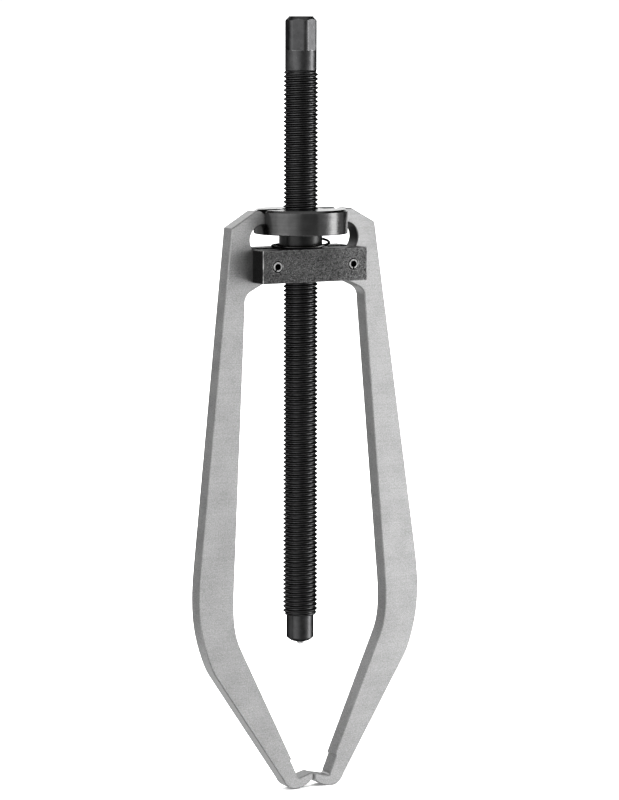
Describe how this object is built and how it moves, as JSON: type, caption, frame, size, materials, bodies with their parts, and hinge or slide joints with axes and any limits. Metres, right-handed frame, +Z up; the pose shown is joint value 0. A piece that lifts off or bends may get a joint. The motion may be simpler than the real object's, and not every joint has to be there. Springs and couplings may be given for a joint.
{
  "type": "gear puller",
  "caption": "Self-centring gear puller: two long hooked arms pivot in a slotted block, and a flanged nut on the forcing screw links them.",
  "frame": {"origin": "point of the thrust ball at the lower end of the forcing screw, where the screw bears on the shaft", "axes": "+Z up the forcing screw to its hexagon, X across the two arms, Y through the thickness of the arms"},
  "size_m": [0.1144, 0.0424, 0.3511],
  "materials": {
    "screw_black": "black oxide, turned and rolled thread",
    "ball_steel": "polished bearing ball",
    "collar_black": "turned and black oxide",
    "block_grey": "blasted and phosphated",
    "arm_steel": "satin ground plate",
    "pin_steel": "rolled spring steel",
    "spring_steel": "oiled spring wire"
  },
  "bodies": {
    "block": {"cross_block": "block_grey", "left_pivot_pin": "pin_steel", "right_pivot_pin": "pin_steel", "return_spring": "spring_steel"},
    "left_jaw_arm": {"left_arm": "arm_steel"},
    "right_jaw_arm": {"right_arm": "arm_steel"},
    "flanged_nut": {"collar": "collar_black"},
    "ball": {"thrust_ball": "ball_steel"},
    "screw": {"forcing_screw": "screw_black"}
  },
  "joints": [
    {"name": "left_arm_swing", "type": "hinge", "parent": "block", "child": "left_jaw_arm", "pos_m": [-0.0195, 0, 0.174], "axis": [0, 1, 0], "range_deg": [0, 12]},
    {"name": "right_arm_swing", "type": "hinge", "parent": "block", "child": "right_jaw_arm", "pos_m": [0.0195, 0, 0.174], "axis": [0, 1, 0], "range_deg": [-12.2, 0.2]},
    {"name": "nut_slide", "type": "slide", "parent": "block", "child": "flanged_nut", "axis": [0, 0, 1], "range_m": [-0.0018, 0.0001], "stiffness_N_per_m": 500, "springref_m": 0.003, "deforming": ["return_spring"]},
    {"name": "screw_feed", "type": "slide", "parent": "flanged_nut", "child": "ball", "axis": [0, 0, 1], "range_m": [-0.045, 0.15]},
    {"name": "screw_turn", "type": "hinge", "parent": "ball", "child": "screw", "pos_m": [0, 0, 0], "axis": [0, 0, 1], "range_deg": [-8136, 27036]}
  ],
  "couplings": [
    {"joint": "right_arm_swing", "follows": "left_arm_swing", "ratio": -1},
    {"joint": "nut_slide", "follows": "left_arm_swing", "m_per_rad": -0.0076},
    {"joint": "screw_turn", "follows": "screw_feed", "rad_per_m": 3141.6}
  ]
}
